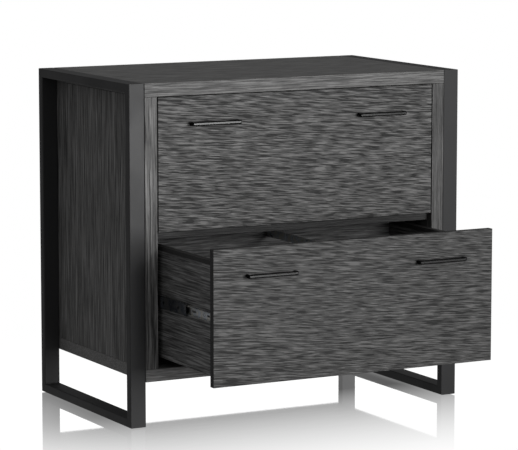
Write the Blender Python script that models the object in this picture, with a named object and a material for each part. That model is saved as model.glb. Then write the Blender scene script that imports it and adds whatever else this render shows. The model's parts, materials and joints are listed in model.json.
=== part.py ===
"""Two-drawer lateral file cabinet: a laminate case carried between two black steel side frames.

Units are metres, +Z is up and the drawers open towards -Y. The origin is on the floor, under the
centre of the box round the cabinet as it stands here, with its lower drawer drawn part way out.
Depths are given as y, counted backwards from the case's front edge.
"""

import math

import bmesh
import bpy
from mathutils import Vector

# Overall sizes
WIDTH = 0.840
DEPTH = 0.485
HEIGHT = 0.762

# Clearances
TOUCH = 0.0003  # between pieces that rest against each other
HOLE_PLAY = 0.0003  # round a bolt or a stem in its hole

# Side frames: rectangular tube, mitred and welded into loops
TUBE_WIDTH = 0.038
TUBE_DEPTH = 0.020
TUBE_WALL = 0.0015
TUBE_CORNER = 0.0020
GLIDE_PAD = 0.0020
GLIDE_RADIUS = 0.012
GLIDE_STEM_RADIUS = 0.004
GLIDE_STEM_RISE = 0.0045
GLIDE_INSET = 0.045

# Case
TOP_THICK = 0.030
SIDE_THICK = 0.030
BOTTOM_THICK = 0.028
BACK_THICK = 0.009
BACK_RECESS = 0.010
CASE_CLEARANCE = 0.102
MID_RAIL_HEIGHT = 0.032
MID_RAIL_THICK = 0.016
MID_RAIL_SETBACK = 0.003
PANEL_EDGE = 0.0008

# Frame bolts: from inside the case, through the side panel, into the upright
BOLT_RADIUS = 0.003
BOLT_HEAD_RADIUS = 0.0065
BOLT_HEAD_THICK = 0.004
BOLT_SUNK = 0.0005
BOLT_REACH = 0.006
BOLT_FROM_PANEL_END = 0.055

# Drawer fronts and boxes
FRONT_THICK = 0.016
FRONT_SIDE_GAP = 0.0025
FRONT_TOP_GAP = 0.0015
FRONT_BETWEEN_GAP = 0.0045
FRONT_FOOT_GAP = 0.0015
BOX_ABOVE_FRONT_FOOT = 0.021
BOX_BELOW_FRONT_TOP = 0.029
BOX_DEPTH = 0.405
BOX_THICK = 0.012
BOX_FLOOR_THICK = 0.006
BOX_FLOOR_RAISE = 0.010
BOX_EDGE = 0.0005
LOWER_OPEN = 0.262
UPPER_OPEN = 0.0
MIDDLE_SHARE = 0.56  # of the drawer's travel, taken by the slides' middle members

# Pulls: a flat grip with a leg at each end
PULL_LENGTH = 0.122
PULL_HEIGHT = 0.009
PULL_GRIP_DEPTH = 0.006
PULL_LEG = 0.006
PULL_PROJECTION = 0.018
PULL_EDGE = 0.0027
PULL_FROM_CENTRE = 0.212
PULL_BELOW_TOP = 0.061

# Ball-bearing slides, three nested channels each
SLIDE_SPACE = 0.0127
SLIDE_LENGTH = 0.400
SLIDE_SETBACK = 0.018
SLIDE_METAL = 0.0012
OUTER_HEIGHT = 0.035
MIDDLE_HEIGHT = 0.027
INNER_HEIGHT = 0.020
OUTER_DEPTH = 0.72 * SLIDE_SPACE
MIDDLE_STANDOFF = 0.24 * SLIDE_SPACE
MIDDLE_DEPTH = 0.55 * SLIDE_SPACE
INNER_DEPTH = 0.53 * SLIDE_SPACE
INNER_SETBACK = 0.028

# Hanging-file rails: a cap on each box side, and a middle bar on a bracket and the box back
CAP_THICK = 0.001
CAP_DROP = 0.008
BAR_THICK = 0.0025
BAR_HEIGHT = 0.016
HOOK_RISE = 0.001
HOOK_THICK = 0.002
HOOK_DROP = 0.006
BRACKET_METAL = 0.0015
BRACKET_WIDTH = 0.040
BRACKET_DEPTH = 0.012
BRACKET_DROP = 0.022

# Worked out from the sizes above
FRONT_Y = -(DEPTH - LOWER_OPEN - PULL_PROJECTION) / 2
CASE_X = WIDTH / 2 - TUBE_WIDTH - TOUCH
INSIDE_X = CASE_X - SIDE_THICK
CASE_FLOOR = CASE_CLEARANCE + BOTTOM_THICK
CASE_CEILING = HEIGHT - TOP_THICK
FRONT_ROOM = CASE_CEILING - FRONT_TOP_GAP - CASE_FLOOR - FRONT_FOOT_GAP
FRONT_HEIGHT = (FRONT_ROOM - FRONT_BETWEEN_GAP) / 2
LOWER_FOOT = CASE_FLOOR + FRONT_FOOT_GAP
UPPER_FOOT = LOWER_FOOT + FRONT_HEIGHT + FRONT_BETWEEN_GAP
BOX_X = INSIDE_X - SLIDE_SPACE

SIDES = (("left", -1), ("right", 1))
STEEL_BLACK = ((0.020, 0.020, 0.021), 0.42, 0.0)
LAMINATE = ((0.085, 0.083, 0.082), 0.50, 0.0)
LAMINATE_DARK = ((0.050, 0.049, 0.049), 0.55, 0.0)
BOARD_BLACK = ((0.030, 0.030, 0.030), 0.70, 0.0)
ZINC = ((0.36, 0.36, 0.37), 0.38, 1.0)
PLASTIC_BLACK = ((0.025, 0.025, 0.025), 0.60, 0.0)


def clear_scene():
    for obj in list(bpy.data.objects):
        bpy.data.objects.remove(obj, do_unlink=True)


def finish_material(obj, finish):
    colour, roughness, metallic = finish
    material = bpy.data.materials.new(obj.name)
    material.use_nodes = True
    shader = material.node_tree.nodes["Principled BSDF"]
    shader.inputs["Base Color"].default_value = (*colour, 1.0)
    shader.inputs["Roughness"].default_value = roughness
    shader.inputs["Metallic"].default_value = metallic
    obj.data.materials.append(material)


def add_object(name, data, finish):
    obj = bpy.data.objects.new(name, data)
    bpy.context.scene.collection.objects.link(obj)
    finish_material(obj, finish)
    return obj


def mesh_object(name, bm, finish, smooth=False):
    bmesh.ops.recalc_face_normals(bm, faces=bm.faces)
    mesh = bpy.data.meshes.new(name)
    bm.to_mesh(mesh)
    bm.free()
    if smooth:
        mesh.shade_smooth()
        mesh.set_sharp_from_angle(angle=math.radians(35))
    return add_object(name, mesh, finish)


def board(name, x, y, z, finish, edge=PANEL_EDGE):
    """A flat panel or bar between two x, two y and two z values, with its edges eased."""
    bm = bmesh.new()
    bmesh.ops.create_cube(bm, size=1.0)
    size = Vector((x[1] - x[0], y[1] - y[0], z[1] - z[0]))
    centre = Vector((sum(x) / 2, sum(y) / 2 + FRONT_Y, sum(z) / 2))
    bmesh.ops.scale(bm, verts=bm.verts, vec=size)
    bmesh.ops.bevel(
        bm, geom=bm.edges, offset=edge, segments=2, profile=0.5, affect="EDGES", material=-1
    )
    bmesh.ops.translate(bm, verts=bm.verts, vec=centre)
    return mesh_object(name, bm, finish)


def stepped_rod(name, steps, direction, place, finish, sides=16):
    """A solid turned from two (radius, start, end) steps, measured along direction from place."""
    (wide, start, middle), (narrow, _, end) = steps
    outline = (
        (0.0, start),
        (wide, start),
        (wide, middle),
        (narrow, middle),
        (narrow, end),
        (0.0, end),
    )
    bm = bmesh.new()
    verts = [bm.verts.new((radius, 0.0, along)) for radius, along in outline]
    edges = [bm.edges.new(pair) for pair in zip(verts, verts[1:])]
    bmesh.ops.spin(
        bm,
        geom=verts + edges,
        cent=(0, 0, 0),
        axis=(0, 0, 1),
        angle=math.tau,
        steps=sides,
        use_merge=True,
    )
    bmesh.ops.remove_doubles(bm, verts=bm.verts, dist=1e-6)
    turn = direction.to_track_quat("Z", "Y").to_matrix()
    bmesh.ops.rotate(bm, verts=bm.verts, matrix=turn)
    bmesh.ops.translate(bm, verts=bm.verts, vec=place)
    return mesh_object(name, bm, finish, smooth=True)


def cut_with(obj, name, steps, direction, place):
    """Cuts a stepped round hole from obj."""
    cutter = stepped_rod(name, steps, direction, place, PLASTIC_BLACK)
    cutter.hide_render = True
    cutter.display_type = "WIRE"
    modifier = obj.modifiers.new(name, "BOOLEAN")
    modifier.operation = "DIFFERENCE"
    modifier.solver = "EXACT"
    modifier.object = cutter


def ring_points(half_width, low, high, corner, steps=2):
    """A rounded rectangle in (across, depth), counter-clockwise."""
    points = []
    corners = (
        (half_width - corner, high - corner, 0),
        (-half_width + corner, high - corner, 90),
        (-half_width + corner, low + corner, 180),
        (half_width - corner, low + corner, 270),
    )
    for across, depth, first in corners:
        for step in range(steps + 1):
            angle = math.radians(first + 90 * step / steps)
            point = (across + corner * math.cos(angle), depth + corner * math.sin(angle))
            points.append(point)
    return points


def tube(name, side, length, place):
    """One mitred tube of a side frame. place turns (depth from the outer face, along) into (y, z)."""
    bm = bmesh.new()
    inner_corner = max(TUBE_CORNER - TUBE_WALL, TUBE_WALL / 4)
    rings = (
        ring_points(TUBE_WIDTH / 2, 0.0, TUBE_DEPTH, TUBE_CORNER),
        ring_points(
            TUBE_WIDTH / 2 - TUBE_WALL, TUBE_WALL, TUBE_DEPTH - TUBE_WALL, inner_corner
        ),
    )
    loops = []
    for ring in rings:
        verts = [bm.verts.new((across, depth, 0.0)) for across, depth in ring]
        loops += [bm.edges.new((verts[i - 1], verts[i])) for i in range(len(verts))]
    end = bmesh.ops.bridge_loops(bm, edges=loops)["faces"]
    pushed = bmesh.ops.extrude_face_region(bm, geom=end, use_keep_orig=True)
    verts = [item for item in pushed["geom"] if isinstance(item, bmesh.types.BMVert)]
    bmesh.ops.translate(bm, verts=verts, vec=(0, 0, length))
    centre = side * (WIDTH - TUBE_WIDTH) / 2
    for vert in bm.verts:
        across, depth, along = vert.co
        mitre = depth + TOUCH / 2
        y, z = place(depth, mitre if along < length / 2 else length - mitre)
        vert.co = (centre + across, FRONT_Y + y, z)
    return mesh_object(name, bm, STEEL_BLACK, smooth=True)


def side_frame(label, side):
    rise = HEIGHT - GLIDE_PAD
    places = {
        "front_upright": (rise, lambda depth, along: (depth, GLIDE_PAD + along)),
        "rear_upright": (rise, lambda depth, along: (DEPTH - depth, GLIDE_PAD + along)),
        "top_rail": (DEPTH, lambda depth, along: (along, HEIGHT - depth)),
        "foot_rail": (DEPTH, lambda depth, along: (along, GLIDE_PAD + depth)),
    }
    return {
        part: tube(f"{label}_{part}", side, length, place)
        for part, (length, place) in places.items()
    }


def glide(label, end, x, y, rail):
    """A floor glide whose stem plugs into the underside of a foot rail."""
    place = Vector((x, FRONT_Y + y, 0.0))
    up = Vector((0, 0, 1))
    pad = GLIDE_PAD - TOUCH
    stem_top = GLIDE_PAD + GLIDE_STEM_RISE
    steps = ((GLIDE_RADIUS, 0.0, pad), (GLIDE_STEM_RADIUS, pad, stem_top))
    stepped_rod(f"{label}_{end}_glide", steps, up, place, PLASTIC_BLACK)
    hole = GLIDE_STEM_RADIUS + HOLE_PLAY
    below = (hole + TUBE_WALL, -GLIDE_PAD, GLIDE_PAD - TOUCH)
    through = (hole, below[2], GLIDE_PAD + TUBE_WALL * 2)
    cut_with(rail, f"{label}_{end}_glide_hole", (below, through), up, place)


def bolt(label, end, level, side, y, z, panel, upright):
    """A bolt with its head sunk in the side panel's inner face and its shank in the upright."""
    place = Vector((side * INSIDE_X, FRONT_Y + y, z))
    out = Vector((side, 0, 0))
    reach = SIDE_THICK + TOUCH + TUBE_WALL + BOLT_REACH
    head_end = BOLT_SUNK + BOLT_HEAD_THICK
    name = f"{label}_{end}_{level}_bolt"
    steps = ((BOLT_HEAD_RADIUS, BOLT_SUNK, head_end), (BOLT_RADIUS, head_end, reach))
    stepped_rod(name, steps, out, place, ZINC)
    wide = (BOLT_HEAD_RADIUS + HOLE_PLAY, -BOLT_SUNK, head_end + HOLE_PLAY)
    narrow = (BOLT_RADIUS + HOLE_PLAY, wide[2], reach + HOLE_PLAY)
    cut_with(panel, f"{name}_panel_hole", (wide, narrow), out, place)
    cut_with(upright, f"{name}_tube_hole", (wide, narrow), out, place)


def frames_and_sides():
    bolt_levels = (
        ("lower", CASE_FLOOR + BOLT_FROM_PANEL_END),
        ("upper", CASE_CEILING - BOLT_FROM_PANEL_END),
    )
    for label, side in SIDES:
        tubes = side_frame(label, side)
        x = sorted((side * INSIDE_X, side * CASE_X))
        z = (CASE_FLOOR + TOUCH, CASE_CEILING - TOUCH)
        panel = board(f"{label}_side_panel", x, (0.0, DEPTH), z, LAMINATE)
        tube_x = side * (WIDTH - TUBE_WIDTH) / 2
        ends = (("front", GLIDE_INSET), ("rear", DEPTH - GLIDE_INSET))
        for end, y in ends:
            glide(label, end, tube_x, y, tubes["foot_rail"])
        bolt_rows = (("front", TUBE_DEPTH / 2), ("rear", DEPTH - TUBE_DEPTH / 2))
        for end, y in bolt_rows:
            for level, z_bolt in bolt_levels:
                upright = tubes[f"{end}_upright"]
                bolt(label, end, level, side, y, z_bolt, panel, upright)


def case_panels():
    x = (-CASE_X, CASE_X)
    y = (0.0, DEPTH)
    board("top_panel", x, y, (CASE_CEILING, HEIGHT), LAMINATE)
    board("bottom_panel", x, y, (CASE_CLEARANCE, CASE_FLOOR), LAMINATE)
    between = (-INSIDE_X + TOUCH, INSIDE_X - TOUCH)
    inside_z = (CASE_FLOOR + TOUCH, CASE_CEILING - TOUCH)
    back_y = (DEPTH - BACK_RECESS - BACK_THICK, DEPTH - BACK_RECESS)
    board("back_panel", between, back_y, inside_z, BOARD_BLACK)
    rail_y = FRONT_THICK + MID_RAIL_SETBACK
    rail_z = UPPER_FOOT - FRONT_BETWEEN_GAP / 2
    board(
        "mid_rail",
        between,
        (rail_y, rail_y + MID_RAIL_THICK),
        (rail_z - MID_RAIL_HEIGHT / 2, rail_z + MID_RAIL_HEIGHT / 2),
        LAMINATE,
    )


def pushed_profile(name, outline, along, finish, edge=0.0):
    """A flat outline pushed straight along a vector, with its edges eased if edge is given."""
    bm = bmesh.new()
    face = bm.faces.new([bm.verts.new(point) for point in outline])
    pushed = bmesh.ops.extrude_face_region(bm, geom=[face], use_keep_orig=True)
    moved = [item for item in pushed["geom"] if isinstance(item, bmesh.types.BMVert)]
    bmesh.ops.translate(bm, verts=moved, vec=along)
    if edge:
        bmesh.ops.bevel(
            bm, geom=bm.edges, offset=edge, segments=2, profile=0.5, affect="EDGES", material=-1
        )
    return mesh_object(name, bm, finish)


def channel(name, side, web, lip, height, y, z, finish):
    """A C-section slide member: web is its closed side's x, lip the x that its flanges reach."""
    inward = math.copysign(SLIDE_METAL, lip - web)
    half = height / 2
    profile = (
        (web, -half),
        (lip, -half),
        (lip, -half + SLIDE_METAL),
        (web + inward, -half + SLIDE_METAL),
        (web + inward, half - SLIDE_METAL),
        (lip, half - SLIDE_METAL),
        (lip, half),
        (web, half),
    )
    outline = [(side * across, FRONT_Y + y[0], z + up) for across, up in profile]
    return pushed_profile(name, outline, (0, y[1] - y[0], 0), finish)


def slides(drawer, foot, opened):
    """The left and right slides of a drawer that is drawn out by opened."""
    z = foot + FRONT_HEIGHT / 2
    long = (SLIDE_SETBACK, SLIDE_SETBACK + SLIDE_LENGTH)
    drawn = [edge - opened * MIDDLE_SHARE for edge in long]
    inner_y = (INNER_SETBACK - opened, long[1] - opened)
    outer_web = INSIDE_X - TOUCH
    middle_web = INSIDE_X - MIDDLE_STANDOFF
    inner_web = BOX_X + TOUCH
    for label, side in SIDES:
        name = f"{drawer}_{label}_slide"
        outer_lip = outer_web - OUTER_DEPTH
        channel(f"{name}_outer", side, outer_web, outer_lip, OUTER_HEIGHT, long, z, ZINC)
        middle_lip = middle_web - MIDDLE_DEPTH
        channel(f"{name}_middle", side, middle_web, middle_lip, MIDDLE_HEIGHT, drawn, z, ZINC)
        inner_lip = inner_web + INNER_DEPTH
        channel(f"{name}_inner", side, inner_web, inner_lip, INNER_HEIGHT, inner_y, z, ZINC)


def pull(name, x, z, face_y):
    """A pull whose legs stand on the face at face_y, centred on x and z."""
    half = PULL_LENGTH / 2
    back = PULL_PROJECTION - PULL_GRIP_DEPTH
    profile = (
        (-half, TOUCH),
        (-half, PULL_PROJECTION),
        (half, PULL_PROJECTION),
        (half, TOUCH),
        (half - PULL_LEG, TOUCH),
        (half - PULL_LEG, back),
        (-half + PULL_LEG, back),
        (-half + PULL_LEG, TOUCH),
    )
    low = z - PULL_HEIGHT / 2
    outline = [(x + across, FRONT_Y + face_y - out, low) for across, out in profile]
    return pushed_profile(name, outline, (0, 0, PULL_HEIGHT), STEEL_BLACK, PULL_EDGE)


def side_cap(name, side, y, top):
    """An upturned channel that fits over the top edge of a box side."""
    outer = BOX_X + TOUCH + CAP_THICK
    inner = BOX_X - BOX_THICK - TOUCH - CAP_THICK
    low = top - CAP_DROP
    profile = (
        (outer, low),
        (outer, top + TOUCH + CAP_THICK),
        (inner, top + TOUCH + CAP_THICK),
        (inner, low),
        (inner + CAP_THICK, low),
        (inner + CAP_THICK, top + TOUCH),
        (outer - CAP_THICK, top + TOUCH),
        (outer - CAP_THICK, low),
    )
    outline = [(side * across, FRONT_Y + y[0], up) for across, up in profile]
    return pushed_profile(name, outline, (0, y[1] - y[0], 0), PLASTIC_BLACK)


def bar_bracket(name, y, top):
    """A trough fixed to the back of a drawer front, whose rear wall carries the middle bar."""
    rear = y + BRACKET_DEPTH
    low = top - BRACKET_DROP
    profile = (
        (y, low),
        (rear, low),
        (rear, top),
        (rear - BRACKET_METAL, top),
        (rear - BRACKET_METAL, low + BRACKET_METAL),
        (y + BRACKET_METAL, low + BRACKET_METAL),
        (y + BRACKET_METAL, top),
        (y, top),
    )
    outline = [(-BRACKET_WIDTH / 2, FRONT_Y + along, up) for along, up in profile]
    return pushed_profile(name, outline, (BRACKET_WIDTH, 0, 0), ZINC)


def middle_bar(name, bracket_y, back_y, top):
    """A flat bar from front to back, hooked over the bracket's rear wall and the box back."""
    crown = top + TOUCH + HOOK_RISE
    wall = bracket_y + BRACKET_DEPTH - BRACKET_METAL
    profile = (
        (wall - TOUCH - HOOK_THICK, top - HOOK_DROP),
        (wall - TOUCH, top - HOOK_DROP),
        (wall - TOUCH, top + TOUCH),
        (wall + BRACKET_METAL + TOUCH, top + TOUCH),
        (wall + BRACKET_METAL + TOUCH, top - BAR_HEIGHT),
        (back_y[0] - TOUCH, top - BAR_HEIGHT),
        (back_y[0] - TOUCH, top + TOUCH),
        (back_y[1] + TOUCH, top + TOUCH),
        (back_y[1] + TOUCH, top - HOOK_DROP),
        (back_y[1] + TOUCH + HOOK_THICK, top - HOOK_DROP),
        (back_y[1] + TOUCH + HOOK_THICK, crown),
        (wall - TOUCH - HOOK_THICK, crown),
    )
    outline = [(-BAR_THICK / 2, FRONT_Y + along, up) for along, up in profile]
    return pushed_profile(name, outline, (BAR_THICK, 0, 0), ZINC)


def drawer(name, foot, opened):
    """A drawer whose front has its lower edge at foot, drawn out by opened."""
    top = foot + FRONT_HEIGHT
    front_x = INSIDE_X - FRONT_SIDE_GAP
    face = -opened
    front_y = (face, face + FRONT_THICK)
    board(f"{name}_front", (-front_x, front_x), front_y, (foot, top), LAMINATE)
    box_z = (foot + BOX_ABOVE_FRONT_FOOT, top - BOX_BELOW_FRONT_TOP)
    box_y = (front_y[1] + TOUCH, front_y[1] + TOUCH + BOX_DEPTH)
    for label, side in SIDES:
        x = sorted((side * BOX_X, side * (BOX_X - BOX_THICK)))
        board(f"{name}_{label}_box_side", x, box_y, box_z, LAMINATE_DARK, BOX_EDGE)
    inner_x = BOX_X - BOX_THICK - TOUCH
    across = (-inner_x, inner_x)
    back_y = (box_y[1] - BOX_THICK, box_y[1])
    board(f"{name}_box_back", across, back_y, box_z, LAMINATE_DARK, BOX_EDGE)
    floor_z = box_z[0] + BOX_FLOOR_RAISE
    floor_y = (box_y[0], back_y[0] - TOUCH)
    floor_top = floor_z + BOX_FLOOR_THICK
    board(f"{name}_box_floor", across, floor_y, (floor_z, floor_top), BOARD_BLACK, BOX_EDGE)
    for label, side in SIDES:
        pull_z = top - PULL_BELOW_TOP
        pull(f"{name}_{label}_pull", side * PULL_FROM_CENTRE, pull_z, face)
        side_cap(f"{name}_{label}_file_cap", side, floor_y, box_z[1])
    bar_bracket(f"{name}_file_bar_bracket", box_y[0], box_z[1])
    middle_bar(f"{name}_middle_file_bar", box_y[0], back_y, box_z[1])
    slides(name, foot, opened)


def main():
    clear_scene()
    frames_and_sides()
    case_panels()
    drawer("lower_drawer", LOWER_FOOT, LOWER_OPEN)
    drawer("upper_drawer", UPPER_FOOT, UPPER_OPEN)


main()
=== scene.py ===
# %% [markdown]
# # A lateral file in charcoal laminate and black steel
#
# The cabinet is a laminated case with two wide file drawers, carried between two black steel
# side frames. Its shape and its moving bodies are already fixed as solids. This lesson gives
# every solid its finish and builds the small metal parts that a solid leaves plain: the rolled
# channels of the drawer slides, their balls, the screws, the cam fittings and the weld beads.

# %% Load the cabinet's solids
import json
import math

import bmesh
import bpy
from mathutils import Matrix, Vector

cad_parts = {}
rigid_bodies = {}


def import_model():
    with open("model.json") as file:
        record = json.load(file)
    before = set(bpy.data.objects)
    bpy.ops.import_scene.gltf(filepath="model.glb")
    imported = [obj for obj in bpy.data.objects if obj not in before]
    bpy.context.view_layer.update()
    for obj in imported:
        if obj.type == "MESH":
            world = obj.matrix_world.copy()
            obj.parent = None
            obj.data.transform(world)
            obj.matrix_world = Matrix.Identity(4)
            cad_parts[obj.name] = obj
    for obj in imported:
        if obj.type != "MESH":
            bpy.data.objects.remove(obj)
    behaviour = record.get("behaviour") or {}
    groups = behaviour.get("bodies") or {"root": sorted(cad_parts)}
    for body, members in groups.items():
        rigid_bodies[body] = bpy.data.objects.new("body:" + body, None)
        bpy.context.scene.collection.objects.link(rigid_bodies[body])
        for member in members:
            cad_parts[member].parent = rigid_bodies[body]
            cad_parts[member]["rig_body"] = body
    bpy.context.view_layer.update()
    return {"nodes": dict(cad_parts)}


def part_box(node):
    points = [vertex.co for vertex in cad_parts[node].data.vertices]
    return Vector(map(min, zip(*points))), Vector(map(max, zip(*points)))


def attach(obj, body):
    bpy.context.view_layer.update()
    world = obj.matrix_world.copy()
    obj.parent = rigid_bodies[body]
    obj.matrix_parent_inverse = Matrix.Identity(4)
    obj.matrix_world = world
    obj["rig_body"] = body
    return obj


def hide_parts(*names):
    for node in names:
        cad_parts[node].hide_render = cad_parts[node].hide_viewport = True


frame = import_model()

# %% [markdown]
# ## Where things are
#
# Every position below comes from the solids' own boxes, so a fitting stays on its board if the
# board is changed. The front plane of the case is the zero from which depths are counted, and
# each drawer's travel is already in its solids.

# %% Measure the case and the drawers
DRAWERS = ("lower_drawer", "upper_drawer")
SIDES = {"left": -1, "right": 1}
SIDE_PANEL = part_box("left_side_panel")
FRONT_Y = SIDE_PANEL[0].y
REAR_Y = SIDE_PANEL[1].y
INSIDE_X = -SIDE_PANEL[1].x
print(f"case front at y = {FRONT_Y:.3f} m, inside width {2 * INSIDE_X:.4f} m")
for drawer in DRAWERS:
    opened = FRONT_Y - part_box(f"{drawer}_front")[0].y
    print(f"{drawer} stands {opened * 1000:.0f} mm out")

# %% [markdown]
# ## Helpers for finishes
#
# A finish is a small network of nodes. Writing each link by hand hides the idea behind the
# typing, so these helpers add a node, set its plain values and join its inputs in one line.
# The textures read Object coordinates in metres: a scale of 200 is then a pattern that repeats
# about every 5 mm, whatever the size of the board.

# %% Node helpers
def add_node(tree, kind, values=None, **settings):
    """Adds a node, sets its properties, and sets or links its inputs from values."""
    node = tree.nodes.new(kind)
    for key, value in settings.items():
        setattr(node, key, value)
    for key, value in (values or {}).items():
        socket = node.inputs[key]
        if isinstance(value, bpy.types.NodeSocket):
            tree.links.new(value, socket)
        else:
            socket.default_value = value
    return node


def maths(tree, operation, *values):
    """The result of a Math node on one to three numbers or sockets."""
    node = add_node(tree, "ShaderNodeMath", dict(enumerate(values)), operation=operation)
    return node.outputs[0]


def remap(tree, value, low, high, to_low=0.0, to_high=1.0):
    """The value moved from one range to another and clamped there."""
    values = {"Value": value, "From Min": low, "From Max": high}
    values.update({"To Min": to_low, "To Max": to_high})
    return add_node(tree, "ShaderNodeMapRange", values).outputs["Result"]


def blend_colours(tree, factor, first, second, blend="MIX"):
    """Two colours mixed by a factor."""
    values = {0: factor, 6: first, 7: second}
    node = add_node(tree, "ShaderNodeMix", values, data_type="RGBA", blend_type=blend)
    return node.outputs[2]


def stretched(tree, vector, scale):
    """The vector with each of its axes multiplied, which stretches a pattern."""
    values = {0: vector, 1: scale}
    return add_node(tree, "ShaderNodeVectorMath", values, operation="MULTIPLY").outputs[0]


def noise(tree, vector, scale=1.0, detail=2.0, roughness=0.5):
    """A Noise texture's value, near 0.5 on average."""
    values = {"Vector": vector, "Scale": scale, "Detail": detail, "Roughness": roughness}
    return add_node(tree, "ShaderNodeTexNoise", values).outputs[0]


def grey(value, warmth=0.0):
    """A grey colour, moved a little towards brown by warmth."""
    return (value * (1 + warmth), value, value * (1 - warmth), 1.0)


print("node helpers ready")

# %% [markdown]
# Effects that several finishes share are node groups. A group has named inputs and outputs, so
# that a change made once reaches every board. It puts out only a colour, a roughness and a
# height: the shader and its Bump node stay in each material.

# %% A helper that opens a node group
def open_group(name, inputs, outputs):
    """A new shader node group, with its input and output nodes."""
    tree = bpy.data.node_groups.new(name, "ShaderNodeTree")
    for label, kind, value in inputs:
        socket = tree.interface.new_socket(label, in_out="INPUT", socket_type=kind)
        if value is not None:
            socket.default_value = value
    for label, kind in outputs:
        tree.interface.new_socket(label, in_out="OUTPUT", socket_type=kind)
    start = tree.nodes.new("NodeGroupInput")
    end = tree.nodes.new("NodeGroupOutput")
    return tree, start.outputs, end.inputs


COLOUR = "NodeSocketColor"
NUMBER = "NodeSocketFloat"
VECTOR = "NodeSocketVector"
TINTED = (("Vector", VECTOR, None), ("Tint", COLOUR, None))
SURFACE_OUTPUTS = (("Colour", COLOUR), ("Roughness", NUMBER), ("Height", NUMBER))
print("group outputs:", [label for label, _ in SURFACE_OUTPUTS])

# %% [markdown]
# ## Charcoal wood-grain laminate
#
# The boards are faced with a printed paper whose grain is also pressed into the surface. The
# print has a quiet ground of fine streaks and slow bands, and on it short fibres, some pale and
# some nearly black. A Wave texture gives even zebra stripes, so every layer is a Noise texture
# instead, squeezed across the grain and stretched along it, with X taken as along the grain.
# The pale fibres are the peaks of one noise and the black ones its valleys, so that they lie
# side by side. The ground is three layers, each with its share and how fine it is along and
# across the grain. A slow noise makes all of it waver together, as a tree's growth does. How
# long, how fine and how strong the fibres are is set for each board.

# %% Build the grain group
GROUND_LAYERS = (
    (0.75, (60.0, 800.0, 800.0)),
    (0.15, (2.2, 75.0, 75.0)),
    (0.10, (3.0, 8.0, 8.0)),
)
SEED_STEPS = (1.7, 0.53, 0.31)
WAVER_SCALE = (4.0, 14.0, 14.0)
WAVER_WIDTH = 0.005
PALE_PEAKS = (0.56, 0.63)
BLACK_VALLEYS = (0.44, 0.37)


def build_grain():
    """The laminate's colour, roughness and height, with the grain along X."""
    numbers = (("Seed", 0.0), ("Contrast", 0.5), ("Along", 16.0), ("Across", 500.0))
    inputs = [("Vector", VECTOR, None), ("Dark", COLOUR, None), ("Light", COLOUR, None)]
    inputs += [(label, NUMBER, value) for label, value in numbers]
    tree, given, result = open_group("laminate_grain", inputs, SURFACE_OUTPUTS)
    steps = [maths(tree, "MULTIPLY", given["Seed"], step) for step in SEED_STEPS]
    shift = add_node(tree, "ShaderNodeCombineXYZ", dict(enumerate(steps))).outputs[0]
    place = add_node(tree, "ShaderNodeVectorMath", {0: given["Vector"], 1: shift}).outputs[0]
    waver = noise(tree, stretched(tree, place, WAVER_SCALE), detail=3.0)
    waver = maths(tree, "MULTIPLY", maths(tree, "SUBTRACT", waver, 0.5), WAVER_WIDTH)
    sideways = add_node(tree, "ShaderNodeCombineXYZ", {1: waver, 2: waver}).outputs[0]
    place = add_node(tree, "ShaderNodeVectorMath", {0: place, 1: sideways}).outputs[0]
    fineness = {0: given["Along"], 1: given["Across"], 2: given["Across"]}
    fineness = add_node(tree, "ShaderNodeCombineXYZ", fineness).outputs[0]
    fibres = noise(tree, stretched(tree, place, fineness), detail=1.0, roughness=0.4)
    ground = 0.0
    for share, scale in GROUND_LAYERS:
        layer = noise(tree, stretched(tree, place, scale))
        ground = maths(tree, "MULTIPLY_ADD", layer, share, ground)
    tone = remap(tree, ground, 0.36, 0.64)
    lights = maths(tree, "MULTIPLY", remap(tree, fibres, *PALE_PEAKS), given["Contrast"])
    darks = maths(tree, "MULTIPLY", remap(tree, fibres, *BLACK_VALLEYS), given["Contrast"])
    deep = blend_colours(tree, 1.0, given["Dark"], grey(0.10), "MULTIPLY")
    bright = blend_colours(tree, 1.0, given["Light"], grey(1.9), "MULTIPLY")
    colour = blend_colours(tree, tone, given["Dark"], given["Light"])
    colour = blend_colours(tree, lights, colour, bright)
    colour = blend_colours(tree, darks, colour, deep)
    height = maths(tree, "MULTIPLY_ADD", tone, 0.4, maths(tree, "SUBTRACT", lights, darks))
    tree.links.new(colour, result["Colour"])
    tree.links.new(remap(tree, fibres, 0.4, 0.6, 0.58, 0.46), result["Roughness"])
    tree.links.new(height, result["Height"])
    return tree


GRAIN = build_grain()
print(GRAIN.name, "has", len(GRAIN.nodes), "nodes")

# %% [markdown]
# ## Powder coat
#
# Powder coat is sprayed on dry and baked. It levels into a skin with a soft orange peel about
# a millimetre across, and a finer grit inside it. Both are heights, and the colour hardly
# changes: the frames look black because only their sheen comes back to the eye.

# %% Build the powder coat group
def build_powder():
    """Powder coat's colour, roughness and height."""
    tree, given, result = open_group("powder_coat", TINTED, SURFACE_OUTPUTS)
    peel = noise(tree, given["Vector"], 850.0, detail=1.0)
    grit = noise(tree, given["Vector"], 3200.0, detail=2.0)
    patch = noise(tree, given["Vector"], 9.0, detail=3.0)
    lighter = blend_colours(tree, 1.0, given["Tint"], grey(1.35), "MULTIPLY")
    colour = blend_colours(tree, remap(tree, grit, 0.4, 0.7), given["Tint"], lighter)
    height = maths(tree, "MULTIPLY_ADD", grit, 0.25, peel)
    tree.links.new(colour, result["Colour"])
    tree.links.new(remap(tree, patch, 0.35, 0.65, 0.40, 0.50), result["Roughness"])
    tree.links.new(height, result["Height"])
    return tree


POWDER = build_powder()
print(POWDER.name, "has", len(POWDER.nodes), "nodes")

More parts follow.
